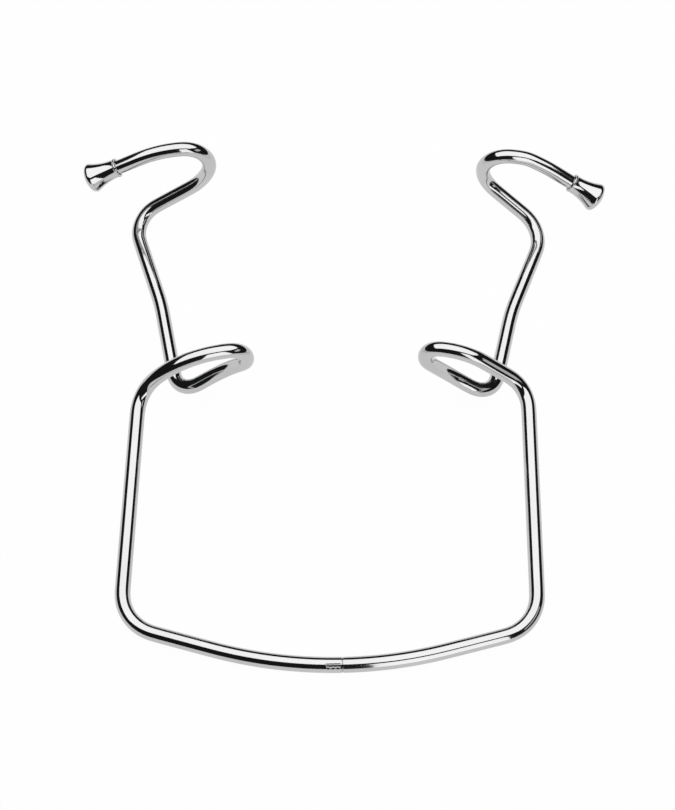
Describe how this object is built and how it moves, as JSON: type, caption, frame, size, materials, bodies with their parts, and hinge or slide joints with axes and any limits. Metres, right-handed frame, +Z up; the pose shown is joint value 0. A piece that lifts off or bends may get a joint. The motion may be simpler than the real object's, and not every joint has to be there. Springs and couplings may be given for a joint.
{
  "type": "self retaining wire retractor",
  "caption": "Self retaining retractor bent from round steel wire: a bowed handle frame, spring eyes, splayed arms and outward hooks ending in trumpet knobs.",
  "frame": {"origin": "bottom centre of the bounding box, on the surface the retractor lies on", "axes": "+X from the left wire to the right wire, +Y from the bow to the hooks, +Z up from the table"},
  "size_m": [0.1092, 0.112, 0.0227],
  "materials": {
    "polished_wire": "mirror polished stainless steel",
    "polished_knob": "mirror polished stainless steel",
    "pin_steel": "turned stainless steel"
  },
  "bodies": {
    "frame": {"bow_joint_pin": "pin_steel", "left_bow": "polished_wire", "left_post": "polished_wire", "left_loop_top": "polished_wire", "right_bow": "polished_wire", "right_post": "polished_wire", "right_loop_top": "polished_wire"},
    "left_jaw": {"left_loop_foot": "polished_wire", "left_arm": "polished_wire", "left_hook": "polished_wire", "left_knob": "polished_knob"},
    "right_jaw": {"right_loop_foot": "polished_wire", "right_arm": "polished_wire", "right_hook": "polished_wire", "right_knob": "polished_knob"}
  },
  "joints": [
    {"name": "left_jaw_spring", "type": "hinge", "parent": "frame", "child": "left_jaw", "pos_m": [-0.01945, 0.00594, 0.01394], "axis": [0, 0, 1], "range_deg": [-12, 4], "stiffness_Nm_per_rad": 9.4},
    {"name": "right_jaw_spring", "type": "hinge", "parent": "frame", "child": "right_jaw", "pos_m": [0.01575, 0.00632, 0.01413], "axis": [0, 0, 1], "range_deg": [-4, 12], "stiffness_Nm_per_rad": 9.4}
  ]
}
